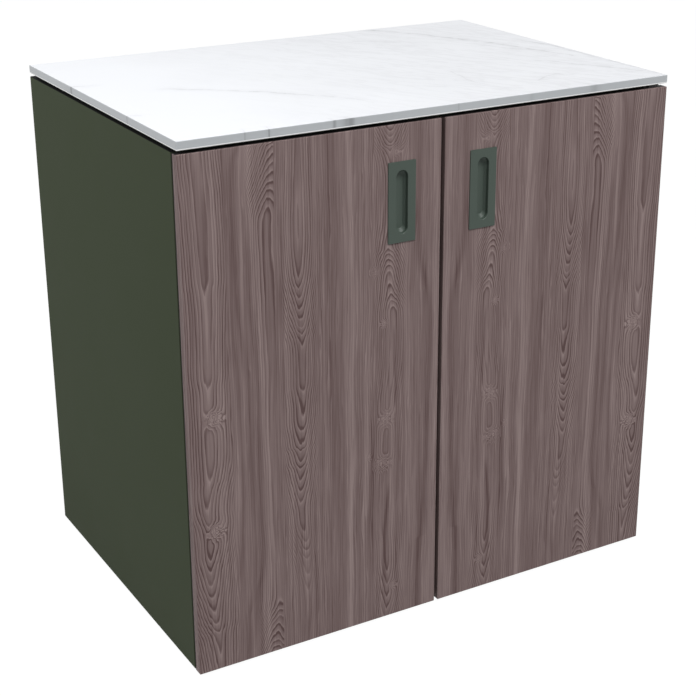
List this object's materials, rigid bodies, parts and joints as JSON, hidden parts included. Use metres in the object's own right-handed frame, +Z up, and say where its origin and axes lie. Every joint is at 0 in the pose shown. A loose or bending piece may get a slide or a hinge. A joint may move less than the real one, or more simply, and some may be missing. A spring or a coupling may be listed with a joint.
{
  "type": "outdoor kitchen base cabinet",
  "caption": "Outdoor kitchen base cabinet: folded metal carcass on levelling feet, stone worktop over a shadow gap, hinged wood-look doors with flush pulls, loose shelf inside.",
  "frame": {"origin": "on the floor, under the middle of the cabinet's overall width and depth", "axes": "+X to the right seen from the front, +Y to the back (the doors face -Y), +Z up"},
  "size_m": [0.9, 0.629, 0.887],
  "materials": {
    "worktop_stone": "satin",
    "spacer_black": "matte",
    "carcass_green": "satin",
    "rivet_green": "satin",
    "door_wood": "satin",
    "pull_green": "satin",
    "hinge_steel": "satin",
    "catch_plastic": "matte",
    "bumper_rubber": "matte",
    "foot_plastic": "matte"
  },
  "bodies": {
    "carcass": {"back_panel": "carcass_green", "blind_rivets_left": "rivet_green", "blind_rivets_right": "rivet_green", "bottom_panel": "carcass_green", "foot_nuts": "hinge_steel", "front_top_rail": "carcass_green", "hinge_arm_lower_left": "hinge_steel", "hinge_arm_lower_right": "hinge_steel", "hinge_arm_upper_left": "hinge_steel", "hinge_arm_upper_right": "hinge_steel", "hinge_plate_lower_left": "hinge_steel", "hinge_plate_lower_right": "hinge_steel", "hinge_plate_upper_left": "hinge_steel", "hinge_plate_upper_right": "hinge_steel", "hinge_screws_left": "hinge_steel", "hinge_screws_right": "hinge_steel", "magnetic_catch_left": "catch_plastic", "magnetic_catch_right": "catch_plastic", "rear_top_rail": "carcass_green", "shelf_supports_left": "hinge_steel", "shelf_supports_right": "hinge_steel", "side_liner_left": "carcass_green", "side_liner_right": "carcass_green", "side_panel_left": "carcass_green", "side_panel_right": "carcass_green", "spacer_bar_front": "spacer_black", "spacer_bar_left": "spacer_black", "spacer_bar_rear": "spacer_black", "spacer_bar_right": "spacer_black", "worktop_slab": "worktop_stone"},
    "door_left": {"cup_screws_left": "hinge_steel", "door_bumpers_left": "bumper_rubber", "door_left": "door_wood", "flush_pull_left": "pull_green", "hinge_cup_lower_left": "hinge_steel", "hinge_cup_upper_left": "hinge_steel", "hinge_pin_lower_left": "hinge_steel", "hinge_pin_upper_left": "hinge_steel", "pull_screws_left": "hinge_steel", "strike_disc_left": "hinge_steel"},
    "door_right": {"cup_screws_right": "hinge_steel", "door_bumpers_right": "bumper_rubber", "door_right": "door_wood", "flush_pull_right": "pull_green", "hinge_cup_lower_right": "hinge_steel", "hinge_cup_upper_right": "hinge_steel", "hinge_pin_lower_right": "hinge_steel", "hinge_pin_upper_right": "hinge_steel", "pull_screws_right": "hinge_steel", "strike_disc_right": "hinge_steel"},
    "shelf": {"shelf": "carcass_green"},
    "foot_front_left": {"foot_pad_front_left": "foot_plastic", "foot_stem_front_left": "hinge_steel"},
    "foot_front_right": {"foot_pad_front_right": "foot_plastic", "foot_stem_front_right": "hinge_steel"},
    "foot_rear_left": {"foot_pad_rear_left": "foot_plastic", "foot_stem_rear_left": "hinge_steel"},
    "foot_rear_right": {"foot_pad_rear_right": "foot_plastic", "foot_stem_rear_right": "hinge_steel"}
  },
  "joints": [
    {"name": "door_left_swing", "type": "hinge", "parent": "carcass", "child": "door_left", "pos_m": [-0.4426, -0.3028, 0.4375], "axis": [0, 0, -1], "range_deg": [0, 105]},
    {"name": "door_right_swing", "type": "hinge", "parent": "carcass", "child": "door_right", "pos_m": [0.4426, -0.3028, 0.4375], "axis": [0, 0, 1], "range_deg": [0, 105]},
    {"name": "shelf_lift", "type": "slide", "parent": "carcass", "child": "shelf", "axis": [0, 0, 1], "range_m": [0, 0.12]},
    {"name": "foot_front_left_height", "type": "slide", "parent": "carcass", "child": "foot_front_left", "axis": [0, 0, -1], "range_m": [-0.005, 0.01]},
    {"name": "foot_front_right_height", "type": "slide", "parent": "carcass", "child": "foot_front_right", "axis": [0, 0, -1], "range_m": [-0.005, 0.01]},
    {"name": "foot_rear_left_height", "type": "slide", "parent": "carcass", "child": "foot_rear_left", "axis": [0, 0, -1], "range_m": [-0.005, 0.01]},
    {"name": "foot_rear_right_height", "type": "slide", "parent": "carcass", "child": "foot_rear_right", "axis": [0, 0, -1], "range_m": [-0.005, 0.01]}
  ]
}
